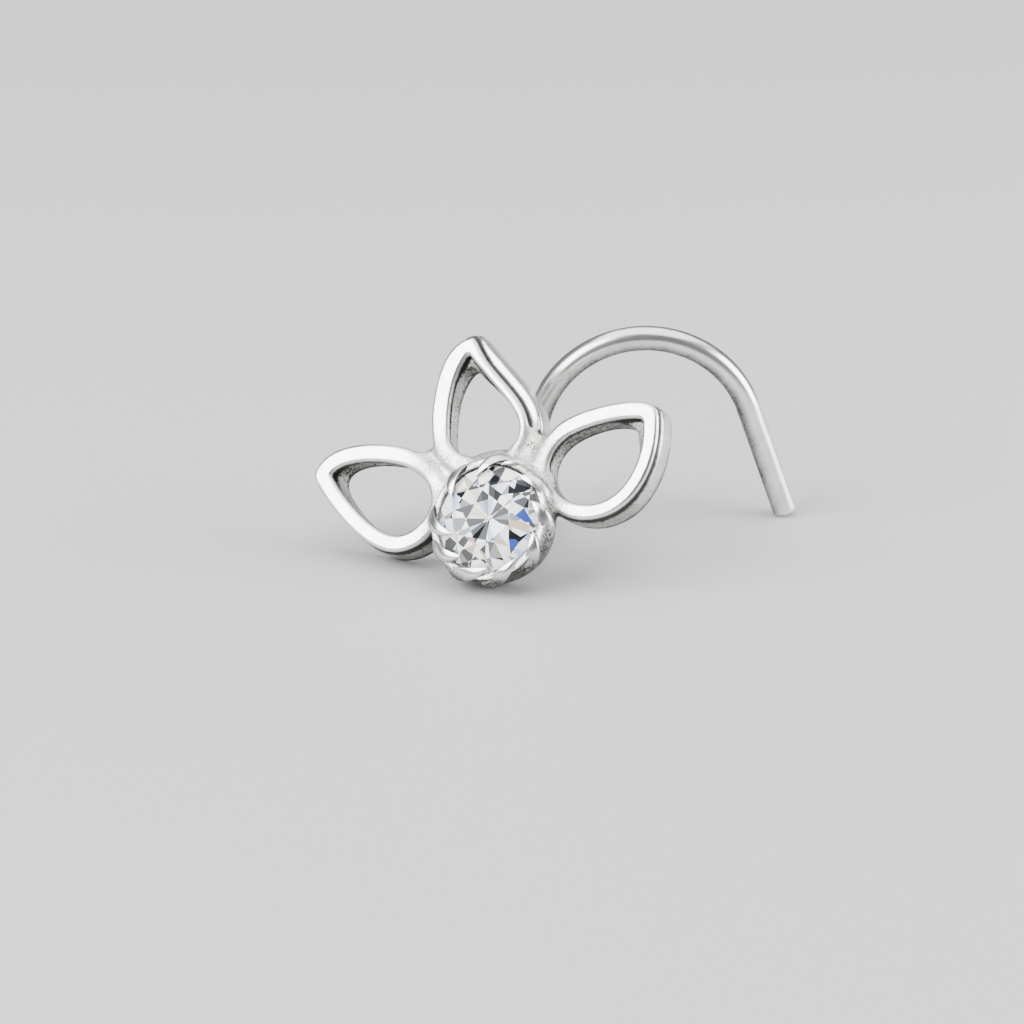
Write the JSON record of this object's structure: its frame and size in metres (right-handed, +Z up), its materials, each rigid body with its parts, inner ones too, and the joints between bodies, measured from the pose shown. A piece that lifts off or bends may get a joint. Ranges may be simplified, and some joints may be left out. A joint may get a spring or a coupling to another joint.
{
  "type": "nose stud with hooked wire",
  "caption": "Nose stud with a flower-shaped head of open petals round a claw-set round stone, and a hooked wire behind it.",
  "frame": {"origin": "centre of the bounding box's underside, on the surface the stud lies on", "axes": "+Z up; the hook's plane is square to Y, the flower's head faces -X, -Y and up, and the wire's free end is at +X"},
  "size_m": [0.0126, 0.0064, 0.0055],
  "materials": {
    "silver": "polished silver with darkened recesses",
    "clear_stone": "faceted and polished"
  },
  "bodies": {
    "root": {"flower_hook_body": "silver", "round_stone": "clear_stone"}
  },
  "joints": []
}
